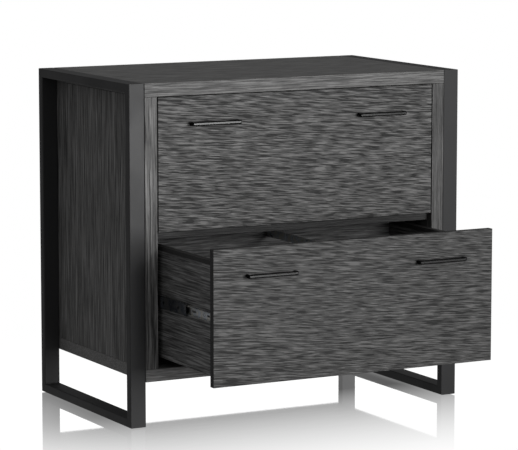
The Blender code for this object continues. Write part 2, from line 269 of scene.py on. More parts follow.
# %% [markdown]
# ## Zinc plate
#
# The slides, bars and screws are rolled or pressed from zinc-plated steel. Rolling leaves fine
# lines along the strip, and plating leaves slow cloudy patches that are a little bluer or
# yellower than their neighbours. The lines go into the height and the clouds into the colour.

# %% Build the zinc group
def build_zinc():
    """Zinc plate's colour, roughness and height, with the rolling lines along Y."""
    tree, given, result = open_group("zinc_plate", TINTED, SURFACE_OUTPUTS)
    lines = noise(tree, stretched(tree, given["Vector"], (1500.0, 20.0, 1500.0)))
    cloud = noise(tree, given["Vector"], 70.0, detail=3.0)
    warm = blend_colours(tree, 1.0, given["Tint"], (1.06, 1.0, 0.90, 1.0), "MULTIPLY")
    cold = blend_colours(tree, 1.0, given["Tint"], (0.80, 0.84, 0.90, 1.0), "MULTIPLY")
    colour = blend_colours(tree, remap(tree, cloud, 0.38, 0.62), cold, warm)
    tree.links.new(colour, result["Colour"])
    tree.links.new(remap(tree, cloud, 0.35, 0.65, 0.26, 0.42), result["Roughness"])
    tree.links.new(lines, result["Height"])
    return tree


ZINC = build_zinc()
print(ZINC.name, "has", len(ZINC.nodes), "nodes")

# %% [markdown]
# ## Faced fibreboard and moulded plastic
#
# The back and the drawer bottoms are thin fibreboard with a painted black face, whose fibres
# still show as a soft fleck in every direction. The file caps and the glides are moulded
# plastic with a fine spark-eroded texture. One group serves both with different scales.

# %% Build the fleck group
def build_fleck():
    """A speckled face's colour, roughness and height. Scale sets how fine the specks are."""
    inputs = (*TINTED, ("Scale", NUMBER, 300.0))
    tree, given, result = open_group("fine_fleck", inputs, SURFACE_OUTPUTS)
    fleck = noise(tree, given["Vector"], given["Scale"], detail=4.0, roughness=0.7)
    patch = noise(tree, given["Vector"], 14.0, detail=3.0)
    lighter = blend_colours(tree, 1.0, given["Tint"], grey(1.7, 0.03), "MULTIPLY")
    colour = blend_colours(tree, remap(tree, fleck, 0.42, 0.68), given["Tint"], lighter)
    tree.links.new(colour, result["Colour"])
    tree.links.new(remap(tree, patch, 0.3, 0.7, 0.52, 0.68), result["Roughness"])
    tree.links.new(fleck, result["Height"])
    return tree


FLECK = build_fleck()
print(FLECK.name, "has", len(FLECK.nodes), "nodes")

# %% [markdown]
# ## From a group to a material
#
# A material places a group, gives it the position along its own grain, and passes colour,
# roughness and height to one Principled shader. For a board whose grain runs up or back, a
# Mapping node turns the position first, so that the group's X always lies along the grain. On
# the drawer fronts the print isn't quite level, and falls by 0.08 radians towards the right.

# %% A helper that makes a material from a group
TURNS = {
    "x": (0.0, 0.0, 0.0),
    "x_falling": (0.0, -0.08, 0.0),
    "y": (0.0, 0.0, -math.pi / 2),
    "z": (0.0, math.pi / 2, 0.0),
}


def make_finish(name, group, values, bump=0.3, relief=0.0003, grain="x", metallic=0.0):
    """A material that shows a surface group through a Principled shader."""
    material = bpy.data.materials.new(name)
    material.use_nodes = True
    tree = material.node_tree
    shader = tree.nodes["Principled BSDF"]
    position = add_node(tree, "ShaderNodeTexCoord").outputs["Object"]
    turned = add_node(tree, "ShaderNodeMapping", {"Vector": position, "Rotation": TURNS[grain]})
    surface = tree.nodes.new("ShaderNodeGroup")
    surface.node_tree = group
    tree.links.new(turned.outputs[0], surface.inputs["Vector"])
    for key, value in values.items():
        surface.inputs[key].default_value = value
    values = {"Strength": bump, "Distance": relief, "Height": surface.outputs["Height"]}
    raised = add_node(tree, "ShaderNodeBump", values)
    tree.links.new(surface.outputs["Colour"], shader.inputs["Base Color"])
    tree.links.new(surface.outputs["Roughness"], shader.inputs["Roughness"])
    tree.links.new(raised.outputs[0], shader.inputs["Normal"])
    shader.inputs["Metallic"].default_value = metallic
    return material


print("grain can run along", ", ".join(TURNS))

# %% [markdown]
# ## Finish the boards
#
# Boards are cut from different sheets, so each gets its own seed and no two show the same
# grain. The drawer fronts, the top, the bottom and the rail have it from side to side, the side
# panels upright, and the sides of the drawer boxes from front to back. The boxes are faced
# with a print without warmth. The fronts' edges are painted near-black as painted shade, so
# their print is kept only where the surface faces forward: a mask made from its normal, whose
# Y is -1 there.

# %% Laminate on the case and the drawers
def print_of(dark, light, contrast, along, across, warmth=0.01):
    """One laminate print: its two ground greys and how its fibres look."""
    values = {"Dark": grey(dark, warmth), "Light": grey(light, warmth), "Contrast": contrast}
    return {**values, "Along": along, "Across": across}


SIDE = print_of(0.086, 0.160, 0.75, 9.0, 430.0)
# Painted shade: the right side panel's print is darker than the left's, to stand for the key light
# falling off towards the right.
RIGHT_SIDE_PAINTED_SHADE = print_of(0.060, 0.111, 0.55, 9.0, 430.0)
TOP = print_of(0.100, 0.180, 0.50, 16.0, 480.0)
# Painted light: the bottom's print is lighter than the side panels', for the light that falls on
# its front edge.
BOTTOM_PAINTED_LIGHT = print_of(0.125, 0.222, 0.45, 16.0, 480.0)
UPPER_FRONT = print_of(0.058, 0.100, 1.35, 28.0, 420.0)
# Painted shade: the lower front's print is darker than the upper front's, for the shade that lies
# on it.
LOWER_FRONT_PAINTED_SHADE = print_of(0.041, 0.071, 1.10, 28.0, 430.0)
BOX = print_of(0.090, 0.165, 0.65, 14.0, 380.0, 0.0)
# Painted shade: the rail's print is nearly black, for the shade it lies in behind the fronts.
SHADED = print_of(0.008, 0.026, 0.5, 16.0, 480.0, 0.0)
# Painted shade: the near-black that the drawer fronts' edges are given in place of their print.
FRONT_EDGE_PAINTED_SHADE = grey(0.018)
FRONT_FACING = (-0.3, -0.7)
BOARDS = {
    "top_panel": ("x", 1.3, TOP),
    "bottom_panel": ("x", 2.9, BOTTOM_PAINTED_LIGHT),
    "mid_rail": ("x", 4.1, SHADED),
    "left_side_panel": ("z", 5.2, SIDE),
    "right_side_panel": ("z", 6.7, RIGHT_SIDE_PAINTED_SHADE),
    "upper_drawer_front": ("x_falling", 7.4, UPPER_FRONT),
    "lower_drawer_front": ("x_falling", 8.8, LOWER_FRONT_PAINTED_SHADE),
}
for drawer in DRAWERS:
    for place, grain in (("left_box_side", "y"), ("right_box_side", "y"), ("box_back", "x")):
        BOARDS[f"{drawer}_{place}"] = (grain, 10.0 + 1.9 * len(BOARDS), BOX)


def dress(node, material):
    """Gives a solid its finish in place of the plain one that it came with."""
    data = frame["nodes"][node].data
    data.materials.clear()
    data.materials.append(material)


def face_only(material, other, start, end):
    """Keeps a material's colour on faces towards the front, and gives the rest another colour."""
    tree = material.node_tree
    shader = tree.nodes["Principled BSDF"]
    colour = shader.inputs["Base Color"].links[0].from_socket
    normal = add_node(tree, "ShaderNodeNewGeometry").outputs["Normal"]
    facing = add_node(tree, "ShaderNodeSeparateXYZ", {0: normal}).outputs[1]
    mask = remap(tree, facing, start, end)
    tree.links.new(blend_colours(tree, mask, other, colour), shader.inputs["Base Color"])
    return mask


for node, (grain, seed, values) in BOARDS.items():
    values = {**values, "Seed": seed}
    laminate = make_finish(f"{node}_laminate", GRAIN, values, 0.45, 0.0005, grain)
    dress(node, laminate)
    if node.endswith("_drawer_front"):
        face_only(laminate, FRONT_EDGE_PAINTED_SHADE, *FRONT_FACING)
print(len(BOARDS), "laminated boards")

# %% [markdown]
# ## Finish the metal, the plain boards and the plastic
#
# The frames are powder coated in black. Zinc is bright on the drawer members of the slides,
# the bars, the bolts and the screws, and black on the middle and cabinet members. The plain
# boards stay in the dark behind and inside the drawers, so their face is only a deep black
# with a soft fleck.

# %% Powder coat, fibreboard, plastic and zinc
FRAME_BLACK = (0.0205, 0.0205, 0.0215, 1.0)
ZINC_BRIGHT = (0.68, 0.70, 0.72, 1.0)
ZINC_BLACK = (0.15, 0.16, 0.18, 1.0)
fibreboard = {"Tint": grey(0.020, 0.03), "Scale": 380.0}
moulded = {"Tint": grey(0.018), "Scale": 1400.0}
frame_coat = make_finish("frame_powder_coat", POWDER, {"Tint": FRAME_BLACK}, 0.18, 0.0002)
board_face = make_finish("painted_fibreboard", FLECK, fibreboard)
plastic = make_finish("moulded_plastic", FLECK, moulded, 0.2, 0.0002)
zinc, dark_zinc = (
    make_finish(name, ZINC, {"Tint": tint}, 0.12, 0.0001, metallic=1.0)
    for name, tint in (("zinc_plated_steel", ZINC_BRIGHT), ("black_zinc_steel", ZINC_BLACK))
)
finishes = (frame_coat, board_face, plastic, zinc, dark_zinc)
print("finishes:", ", ".join(finish.name for finish in finishes))

# %% [markdown]
# The pulls are black bars whose front face carries a painted highlight: it is lighter and
# metallic, so each shows as a light line between black edges. The edges are rounded, and only
# the flat of the face gets the painted highlight, so the mask starts very near to straight
# ahead. It also drives Metallic and Roughness.

# %% Paint a highlight on the pulls' front faces
PULL_BLACK = grey(0.004)
PULL_HIGHLIGHT_FACING = (-0.97, -0.999)
PLAIN_AND_HIGHLIGHT_ROUGHNESS = (0.65, 0.27)
pull_coat = make_finish("pull_satin_coat", POWDER, {"Tint": grey(0.066)}, 0.10, 0.0001)
pull_tree = pull_coat.node_tree
pull_shader = pull_tree.nodes["Principled BSDF"]
pull_shader.inputs["Specular IOR Level"].default_value = 0.08
# Painted highlight: the lighter, metallic colour kept on the pulls' front faces only.
painted_highlight = face_only(pull_coat, PULL_BLACK, *PULL_HIGHLIGHT_FACING)
pull_tree.links.new(painted_highlight, pull_shader.inputs["Metallic"])
highlighted = remap(pull_tree, painted_highlight, 0.0, 1.0, *PLAIN_AND_HIGHLIGHT_ROUGHNESS)
pull_tree.links.new(highlighted, pull_shader.inputs["Roughness"])
print("pull faces brushed where the normal's Y is under", PULL_HIGHLIGHT_FACING[0])

# %% Dress the metal, the plain boards and the plastic
for node in frame["nodes"]:
    if node.endswith(("_upright", "_top_rail", "_foot_rail")):
        dress(node, frame_coat)
    elif node.endswith("_pull"):
        dress(node, pull_coat)
    elif node.endswith(("_bolt", "_file_bar", "_bracket")):
        dress(node, zinc)
    elif node.endswith(("_glide", "_file_cap")):
        dress(node, plastic)
    elif node in ("back_panel", "lower_drawer_box_floor", "upper_drawer_box_floor"):
        dress(node, board_face)
print("dressed:", sum(len(obj.data.materials) == 1 for obj in frame["nodes"].values()), "solids")

# %% [markdown]
# ## From a bmesh to a piece
#
# Each small part below is shaped in a bmesh at its final place. The same last steps follow
# every time: merge doubles, turn the faces outwards, shade smooth with sharp corners kept, give
# it its finish, and hang it on the body that it moves with.

# %% A helper that finishes a piece
SAME_POINT = 2e-6
SHARP_ANGLE = math.radians(32)


def settle(bm, name, body, material):
    """Makes a bmesh into a finished piece that rides on a body."""
    bmesh.ops.remove_doubles(bm, verts=bm.verts, dist=SAME_POINT)
    bmesh.ops.recalc_face_normals(bm, faces=bm.faces)
    mesh = bpy.data.meshes.new(name)
    bm.to_mesh(mesh)
    bm.free()
    mesh.shade_smooth()
    mesh.set_sharp_from_angle(angle=SHARP_ANGLE)
    piece = bpy.data.objects.new(name, mesh)
    bpy.context.scene.collection.objects.link(piece)
    mesh.materials.append(material)
    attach(piece, body)
    return piece


def new_verts(made):
    """The vertices among what an extrude or a spin returned."""
    return [item for item in made if isinstance(item, bmesh.types.BMVert)]


def cut_out(piece, bm):
    """Cuts the shapes in bm out of a piece, and leaves the result as its mesh."""
    mesh = bpy.data.meshes.new("cutter")
    bmesh.ops.recalc_face_normals(bm, faces=bm.faces)
    bm.to_mesh(mesh)
    bm.free()
    cutter = bpy.data.objects.new("cutter", mesh)
    bpy.context.scene.collection.objects.link(cutter)
    modifier = piece.modifiers.new("cut", "BOOLEAN")
    modifier.operation = "DIFFERENCE"
    modifier.solver = "EXACT"
    modifier.object = cutter
    graph = bpy.context.evaluated_depsgraph_get()
    result = bpy.data.meshes.new_from_object(piece.evaluated_get(graph))
    piece.modifiers.clear()
    piece.data = result
    bpy.data.objects.remove(cutter)
    bpy.data.meshes.remove(mesh)


print("piece helpers ready")

# %% [markdown]
# ## Rolled slide channels
#
# A ball-bearing slide is three strips of steel rolled into channels that nest in each other.
# The solids show them as square C shapes. On the real ones the corners are bends and the edges
# curl inwards to keep the balls in, and the web is pierced with round holes and slots for the
# screws. Here half a profile is drawn as a row of vertices and mirrored, pushed along the
# slide, and given its metal thickness. The holes are cut last.

# %% Roll one channel
METAL = 0.0011
BEND = 0.0021
CURL = 0.0016
BEND_STEPS = 4
HOLE_SIDES = 20
CUTTER_LENGTH = 0.006


def half_profile(web, lip, half):
    """Points (x, z) from the middle of the web round the bend and flange to the curled edge."""
    toward = math.copysign(1.0, lip - web)
    points = [(web, 0.0), (web, half - BEND)]
    for step in range(1, BEND_STEPS + 1):
        angle = math.pi / 2 * step / BEND_STEPS
        across = web + toward * BEND * (1 - math.cos(angle))
        points.append((across, half - BEND + BEND * math.sin(angle)))
    for step in range(1, BEND_STEPS + 1):
        angle = math.pi / 2 * step / BEND_STEPS
        across = lip - toward * CURL * (1 - math.sin(angle))
        points.append((across, half - CURL + CURL * math.cos(angle)))
    return points


def roll_channel(node, web_outside, holes, slots, material):
    """A rolled channel in the place of a slide solid, its web on its outer or inner side."""
    low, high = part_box(node)
    side = math.copysign(1.0, low.x)
    outer, inner = (high.x, low.x) if side > 0 else (low.x, high.x)
    web, lip = (outer, inner) if web_outside else (inner, outer)
    middle = (low.z + high.z) / 2
    bm = bmesh.new()
    points = half_profile(web, lip, (high.z - low.z) / 2)
    points = [(x, -z) for x, z in reversed(points[1:])] + points
    verts = [bm.verts.new((x, low.y, middle + z)) for x, z in points]
    edges = [bm.edges.new(pair) for pair in zip(verts, verts[1:])]
    pushed = bmesh.ops.extrude_edge_only(bm, edges=edges)["geom"]
    bmesh.ops.translate(bm, verts=new_verts(pushed), vec=(0, high.y - low.y, 0))
    centre = Vector(((low.x + high.x) / 2, 0, middle))
    bmesh.ops.recalc_face_normals(bm, faces=bm.faces)
    web_face = max(bm.faces, key=lambda face: abs(face.calc_center_median().x - centre.x))
    if (web_face.calc_center_median() - centre).x * web_face.normal.x < 0:
        bmesh.ops.reverse_faces(bm, faces=bm.faces)
    bmesh.ops.solidify(bm, geom=bm.faces, thickness=METAL)
    piece = settle(bm, f"{node}_channel", frame["nodes"][node]["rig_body"], material)
    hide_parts(node)
    cutter = bmesh.new()
    turned = Matrix.Rotation(math.pi / 2, 3, "Y")
    for start, length, radius in [(y, 0.0, r) for y, r in holes] + list(slots):
        made = bmesh.ops.create_cone(
            cutter,
            cap_ends=True,
            segments=HOLE_SIDES,
            radius1=radius,
            radius2=radius,
            depth=CUTTER_LENGTH,
        )
        bmesh.ops.rotate(cutter, verts=made["verts"], matrix=turned)
        for vert in made["verts"]:
            vert.co.y += math.copysign(length / 2, vert.co.y)
        bmesh.ops.translate(cutter, verts=made["verts"], vec=(web, low.y + start, middle))
    cut_out(piece, cutter)
    return piece


print(f"channels are {METAL * 1000:.1f} mm steel with {BEND * 1000:.1f} mm bends")

# %% [markdown]
# Each member is pierced differently. The drawer member has slots for levelling the front and
# round holes for the fixing screws, the middle member has a few round locating holes, and the
# cabinet member has holes at the 32 mm steps that cabinet makers drill to. A hole is its place
# from the member's front end and its radius, and a slot has its straight length between them.

# %% Roll all twelve channels
HOLE = 0.0023
SYSTEM_STEP = 0.032
INNER_SCREWS = (0.032, 0.128, 0.256, 0.360)
LEVELLING_SLOTS = (0.080, 0.192, 0.320)
FRONT_SLOT = (0.012, 0.008, 0.0022)
INNER_SLOTS = [FRONT_SLOT] + [(y, 0.014, 0.0026) for y in LEVELLING_SLOTS]
LOCATING_HOLE = 0.0030
MIDDLE_HOLES = tuple((y, LOCATING_HOLE) for y in (0.036, 0.108, 0.200, 0.300, 0.390))
OUTER_FIRST = 0.020
OUTER_HOLES = tuple((OUTER_FIRST + SYSTEM_STEP * step, HOLE) for step in range(12))
channels = []
for drawer in DRAWERS:
    for side in SIDES:
        name = f"{drawer}_{side}_slide"
        screws = [(y, HOLE) for y in INNER_SCREWS]
        channels.append(roll_channel(f"{name}_inner", False, screws, INNER_SLOTS, zinc))
        channels.append(roll_channel(f"{name}_middle", True, MIDDLE_HOLES, (), dark_zinc))
        channels.append(roll_channel(f"{name}_outer", True, OUTER_HOLES, (), dark_zinc))
print(len(channels), "channels,", sum(len(piece.data.polygons) for piece in channels), "faces")

# %% [markdown]
# ## Balls and their cages
#
# The channels never touch: two rows of steel balls run between each pair, held apart by a thin
# strip. The balls between the cabinet member and the middle one sit at its rear, which stays in
# the cabinet member but for 2 mm at full travel, and those between the middle and the drawer
# member sit at its front. A ball is smaller than a peppercorn, so a low icosphere shaded smooth
# is round enough.

# %% Fit the balls
BALL_PITCH = 0.0075
CAGE_THICK = 0.0004
CAGE_WIDTH = 0.0036
RUN = 0.185
RUN_FROM_END = 0.004
BALL_PLAY = 0.0001


def half_height(node):
    """Half of a solid's height."""
    low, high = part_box(node)
    return (high.z - low.z) / 2


def ball_rows(name, body, centre, half, gap, start):
    """Two rows of balls in their cages, in the gap above and below a member of half height."""
    x, middle = centre
    offset = half + gap / 2
    radius = gap / 2 - BALL_PLAY
    bm = bmesh.new()
    count = int(RUN / BALL_PITCH)
    for way in (-1, 1):
        z = middle + way * offset
        for number in range(count):
            made = bmesh.ops.create_icosphere(bm, subdivisions=2, radius=radius)
            place = (x, start + BALL_PITCH * (number + 0.5), z)
            bmesh.ops.translate(bm, verts=made["verts"], vec=place)
        strip = bmesh.ops.create_cube(bm, size=1.0)["verts"]
        bmesh.ops.scale(bm, verts=strip, vec=(CAGE_WIDTH, RUN, CAGE_THICK))
        bmesh.ops.translate(bm, verts=strip, vec=(x, start + RUN / 2, z))
    settle(bm, name, body, zinc)


for drawer in DRAWERS:
    for side in SIDES:
        name = f"{drawer}_{side}_slide"
        low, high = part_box(f"{name}_middle")
        body = f"{name}_middle_member"
        centre = ((low.x + high.x) / 2, (low.z + high.z) / 2)
        outer_half, middle_half, inner_half = (
            half_height(f"{name}_{member}") for member in ("outer", "middle", "inner")
        )
        gap = outer_half - METAL - middle_half
        rear_start = high.y - RUN - RUN_FROM_END
        ball_rows(f"{name}_outer_balls", body, centre, middle_half, gap, rear_start)
        gap = middle_half - METAL - inner_half
        ball_rows(f"{name}_inner_balls", body, centre, inner_half, gap, low.y + RUN_FROM_END)
print("ball rows fitted, gap", round(gap * 1000, 2), "mm")

# %% [markdown]
# ## Screws
#
# All the screws are pan heads with a cross recess. One head is turned as a profile, spun round
# its axis and cut with a cross, and then copied to each place. The cam discs are made in the
# same way. Heads that belong to one board are one piece, so the list of pieces stays readable.

# %% Turn a pan head and a cam
HEAD_SIDES = 24
SAME_HEAD_POINT = 1e-5


def spin_profile(bm, profile):
    """Spins (radius, height) points about Z into a closed shape."""
    verts = [bm.verts.new((radius, 0, height)) for radius, height in profile]
    edges = [bm.edges.new(pair) for pair in zip(verts, verts[1:])]
    bmesh.ops.spin(
        bm,
        geom=verts + edges,
        cent=(0, 0, 0),
        axis=(0, 0, 1),
        angle=math.tau,
        steps=HEAD_SIDES,
        use_merge=True,
    )
    bmesh.ops.remove_doubles(bm, verts=bm.verts, dist=SAME_HEAD_POINT)


def make_head(name, profile, recess_length, recess_width, recess_floor):
    """A screw head of unit radius on Z with a cross cut into its top, as a mesh."""
    bm = bmesh.new()
    spin_profile(bm, profile)
    bmesh.ops.recalc_face_normals(bm, faces=bm.faces)
    mesh = bpy.data.meshes.new(name)
    bm.to_mesh(mesh)
    bm.free()
    head = bpy.data.objects.new(name, mesh)
    bpy.context.scene.collection.objects.link(head)
    for quarter in (0, 1):
        bar = bmesh.new()
        verts = bmesh.ops.create_cube(bar, size=1.0)["verts"]
        bmesh.ops.scale(bar, verts=verts, vec=(recess_length, recess_width, 1.0))
        bmesh.ops.translate(bar, verts=verts, vec=(0, 0, recess_floor + 0.5))
        turned = Matrix.Rotation(math.pi / 2 * quarter, 3, "Z")
        bmesh.ops.rotate(bar, verts=verts, matrix=turned)
        cut_out(head, bar)
    result = head.data
    bpy.data.objects.remove(head)
    return result


PAN_DOME = ((1.0, 0.16), (0.93, 0.34), (0.76, 0.50), (0.45, 0.60), (0.0, 0.63))
PAN_PROFILE = ((0.0, 0.0), (1.0, 0.0), *PAN_DOME)
PAN_HEAD = make_head("pan_head", PAN_PROFILE, 1.05, 0.20, 0.26)
CAM_PROFILE = ((0.0, 0.0), (1.0, 0.0), (1.0, 0.06), (0.97, 0.09), (0.0, 0.09))
CAM_HEAD = make_head("cam_head", CAM_PROFILE, 1.0, 0.22, 0.03)
print("pan head faces:", len(PAN_HEAD.polygons), " cam faces:", len(CAM_HEAD.polygons))

# %% A helper that sets heads on a surface
HEAD_TURN = 0.35


def set_heads(name, body, head, radius, places, outward):
    """Copies a head to each place, facing outward, each turned a little further than the last."""
    bm = bmesh.new()
    facing = Vector(outward).to_track_quat("Z", "Y").to_matrix().to_4x4()
    for number, place in enumerate(places):
        spun = Matrix.Rotation(HEAD_TURN * (number + 1), 4, "Z")
        sized = Matrix.Diagonal((radius, radius, radius, 1))
        before = len(bm.verts)
        bm.from_mesh(head)
        bm.verts.ensure_lookup_table()
        moved = bm.verts[before:]
        matrix = Matrix.Translation(place) @ facing @ sized @ spun
        bmesh.ops.transform(bm, matrix=matrix, verts=moved)
    settle(bm, name, body, zinc)


print("heads can be set")

# %% [markdown]
# The screws that a drawer shows are those through the round holes of its slides, and the two
# behind each pull. The case shows the cabinet members' screws inside, through three of their
# holes, and a row round its back panel. Another pair holds each drawer's file bar bracket.
# A head stands on the metal, not on the board, so its place is the inner face of the web.

# %% Set the slide and pull screws
SLIDE_HEAD = 0.0034
CABINET_HEAD = 0.0030
CABINET_SCREWED = (0, 6, 11)
PULL_HEAD = 0.0042
PULL_HALF_LEG = 0.003
for drawer in DRAWERS:
    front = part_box(f"{drawer}_front")
    for side, way in SIDES.items():
        name = f"{drawer}_{side}"
        low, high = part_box(f"{name}_slide_inner")
        web = (low.x if way > 0 else high.x) + way * METAL
        middle = (low.z + high.z) / 2
        places = [Vector((web, low.y + y, middle)) for y in INNER_SCREWS]
        facing = (way, 0, 0)
        set_heads(f"{name}_slide_screws", drawer, PAN_HEAD, SLIDE_HEAD, places, facing)
        low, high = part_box(f"{name}_slide_outer")
        web = (high.x if way > 0 else low.x) - way * METAL
        depths = [low.y + OUTER_HOLES[step][0] for step in CABINET_SCREWED]
        places = [Vector((web, y, middle)) for y in depths]
        facing = (-way, 0, 0)
        set_heads(
            f"{name}_cabinet_screws", "case", PAN_HEAD, CABINET_HEAD, places, facing
        )
        low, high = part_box(f"{name}_pull")
        legs = (low.x + PULL_HALF_LEG, high.x - PULL_HALF_LEG)
        places = [Vector((x, front[1].y, (low.z + high.z) / 2)) for x in legs]
        set_heads(f"{name}_pull_screws", drawer, PAN_HEAD, PULL_HEAD, places, (0, 1, 0))
print("slide, cabinet and pull screws set")

# %% Set the back panel screws and the bracket screws
EDGE = 0.012
BACK_HEAD = 0.0038
BRACKET_HEAD = 0.0032
BRACKET_METAL = 0.0015
BRACKET_INSET = 0.009


def spread(low, high, gaps=4):
    """Evenly spaced values, from EDGE inside the low end to EDGE inside the high end."""
    return [low + EDGE + (high - low - 2 * EDGE) * step / gaps for step in range(gaps + 1)]


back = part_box("back_panel")
across = spread(back[0].x, back[1].x)
upright = spread(back[0].z, back[1].z)[1:-1]
places = [Vector((x, back[1].y, z)) for x in across for z in (back[0].z + EDGE, back[1].z - EDGE)]
places += [Vector((x, back[1].y, z)) for z in upright for x in (across[0], across[-1])]
set_heads("back_panel_screws", "case", PAN_HEAD, BACK_HEAD, places, (0, 1, 0))
for drawer in DRAWERS:
    low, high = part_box(f"{drawer}_file_bar_bracket")
    leg = low.y + BRACKET_METAL
    ends = (low.x + BRACKET_INSET, high.x - BRACKET_INSET)
    places = [Vector((x, leg, (low.z + high.z) / 2)) for x in ends]
    name = f"{drawer}_bracket_screws"
    set_heads(name, drawer, PAN_HEAD, BRACKET_HEAD, places, (0, 1, 0))
print(len(across) * 2 + len(upright) * 2, "screws hold the back panel")

# %% [markdown]
# ## Cam fittings
#
# Flat-pack furniture is pulled together by cams: zinc discs let into a board, each turned with
# a screwdriver to draw in a dowel from the next board. They show as flat discs with a cross,
# near the front end of each drawer side and near the top and bottom of the case sides.

# %% Set the cams
CAM_RADIUS = 0.0075
CAM_FROM_END = 0.026
CAM_ABOVE_FLOOR = 0.055
CAM_BELOW_TOP = 0.045
CAM_DEPTH = 0.090
for drawer in DRAWERS:
    for side, way in SIDES.items():
        low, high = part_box(f"{drawer}_{side}_box_side")
        inner = low.x if way > 0 else high.x
        levels = (low.z + CAM_ABOVE_FLOOR, high.z - CAM_BELOW_TOP)
        places = [Vector((inner, low.y + CAM_FROM_END, z)) for z in levels]
        name = f"{drawer}_{side}_cams"
        set_heads(name, drawer, CAM_HEAD, CAM_RADIUS, places, (-way, 0, 0))
for side, way in SIDES.items():
    low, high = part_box(f"{side}_side_panel")
    depths = (low.y + CAM_DEPTH, high.y - CAM_DEPTH)
    levels = (low.z + CAM_FROM_END, high.z - CAM_FROM_END)
    places = [Vector((way * INSIDE_X, y, z)) for y in depths for z in levels]
    name = f"{side}_case_cams"
    set_heads(name, "case", CAM_HEAD, CAM_RADIUS, places, (-way, 0, 0))
print("cams set on", len(DRAWERS) * 2 + 2, "boards")

# %% [markdown]
# ## Weld beads
#
# The four tubes of a side frame are mitred and welded, and the weld is ground flush outside.
# In the inner corner it is left as a narrow coated bead with the ripples of the torch. A bead
# is a circle pushed along the corner in short steps, each ring a little larger or smaller.

# %% Lay a bead in each inner corner
BEAD_RADIUS = 0.0016
BEAD_STEPS = 26
BEAD_SIDES = 10
BEAD_TIP = 0.6
BEAD_DIP = 0.82
BEAD_INSET = 0.002
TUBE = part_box("left_top_rail")
TUBE_DEPTH = TUBE[1].z - TUBE[0].z


def weld_bead(name, x, y, z):
    """A rippled bead from x[0] to x[1] along an inner corner at y and z."""
    bm = bmesh.new()
    tip = BEAD_RADIUS * BEAD_TIP
    bmesh.ops.create_circle(bm, cap_ends=True, segments=BEAD_SIDES, radius=tip)
    bmesh.ops.rotate(bm, verts=bm.verts, matrix=Matrix.Rotation(math.pi / 2, 3, "Y"))
    bmesh.ops.translate(bm, verts=bm.verts, vec=(x[0], y, z))
    cap = list(bm.faces)
    step = (x[1] - x[0]) / BEAD_STEPS
    for ring in range(BEAD_STEPS):
        made = bmesh.ops.extrude_face_region(bm, geom=cap)["geom"]
        if ring:
            bmesh.ops.delete(bm, geom=cap, context="FACES_ONLY")
        cap = [item for item in made if isinstance(item, bmesh.types.BMFace)]
        verts = new_verts(made)
        bmesh.ops.translate(bm, verts=verts, vec=(step, 0, 0))
        size = BEAD_RADIUS * (1.0 if ring % 2 else BEAD_DIP)
        if ring == BEAD_STEPS - 1:
            size = tip
        centre = Vector((x[0] + step * (ring + 1), y, z))
        for vert in verts:
            away = vert.co - centre
            vert.co = centre + away.normalized() * size
    settle(bm, name, "case", frame_coat)


corners = {
    "front_top": (FRONT_Y + TUBE_DEPTH, TUBE[1].z - TUBE_DEPTH),
    "rear_top": (REAR_Y - TUBE_DEPTH, TUBE[1].z - TUBE_DEPTH),
    "front_foot": (FRONT_Y + TUBE_DEPTH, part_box("left_foot_rail")[1].z),
    "rear_foot": (REAR_Y - TUBE_DEPTH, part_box("left_foot_rail")[1].z),
}
for side in SIDES:
    low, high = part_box(f"{side}_top_rail")
    for corner, (y, z) in corners.items():
        ends = (low.x + BEAD_INSET, high.x - BEAD_INSET)
        weld_bead(f"{side}_{corner}_weld", ends, y, z)
print(len(corners) * 2, "weld beads")

# %% [markdown]
# ## Floor
#
# The cabinet stands on a white polished floor. The camera sees the floor evenly white, with a
# crisp mirror image of the frames that fades away from the cabinet. Real polish would mirror
# the whole room, so the mirror's share is made to fall with the distance from the cabinet. A
# white floor would also throw light up at the dark sides, so for all other rays it only glows
# a little. The Light Path node tells the two apart.

# %% Lay the floor
FLOOR_SIZE = 60.0
bm = bmesh.new()
bmesh.ops.create_grid(bm, x_segments=1, y_segments=1, size=FLOOR_SIZE / 2)
mesh = bpy.data.meshes.new("floor")
bm.to_mesh(mesh)
bm.free()
floor = bpy.data.objects.new("floor", mesh)
bpy.context.scene.collection.objects.link(floor)
print("floor", FLOOR_SIZE, "m across")

# %% [markdown]
# The mirror is full over a small area under the cabinet and fades outwards from its edges. The
# distance from that area is worked out from the position, one axis at a time.

# %% Polish the floor
MIRROR_AREA = (0.36, 0.12)
MIRROR_CENTRE_Y = FRONT_Y + 0.30
MIRROR_REACH = 0.75
MIRROR_FADE = 1.5
MIRROR_SHARE = 0.90
UNSEEN_GLOW = 0.18
material = bpy.data.materials.new("polished_floor")
material.use_nodes = True
tree = material.node_tree
tree.nodes.clear()
position = add_node(tree, "ShaderNodeTexCoord").outputs["Object"]
parts = add_node(tree, "ShaderNodeSeparateXYZ", {0: position}).outputs
beyond_x = maths(tree, "SUBTRACT", maths(tree, "ABSOLUTE", parts[0]), MIRROR_AREA[0])
beyond_y = maths(tree, "SUBTRACT", parts[1], MIRROR_CENTRE_Y)
beyond_y = maths(tree, "SUBTRACT", maths(tree, "ABSOLUTE", beyond_y), MIRROR_AREA[1])
beyond = {0: maths(tree, "MAXIMUM", beyond_x, 0.0), 1: maths(tree, "MAXIMUM", beyond_y, 0.0)}
beyond = add_node(tree, "ShaderNodeCombineXYZ", beyond).outputs[0]
distance = add_node(tree, "ShaderNodeVectorMath", {0: beyond}, operation="LENGTH").outputs["Value"]
near = remap(tree, distance, 0.0, MIRROR_REACH, 1.0, 0.0)
share = maths(tree, "MULTIPLY", maths(tree, "POWER", near, MIRROR_FADE), MIRROR_SHARE)
glow = add_node(tree, "ShaderNodeEmission", {"Color": grey(1.0), "Strength": 1.0}).outputs[0]
polish = {"Color": grey(1.0), "Roughness": 0.04}
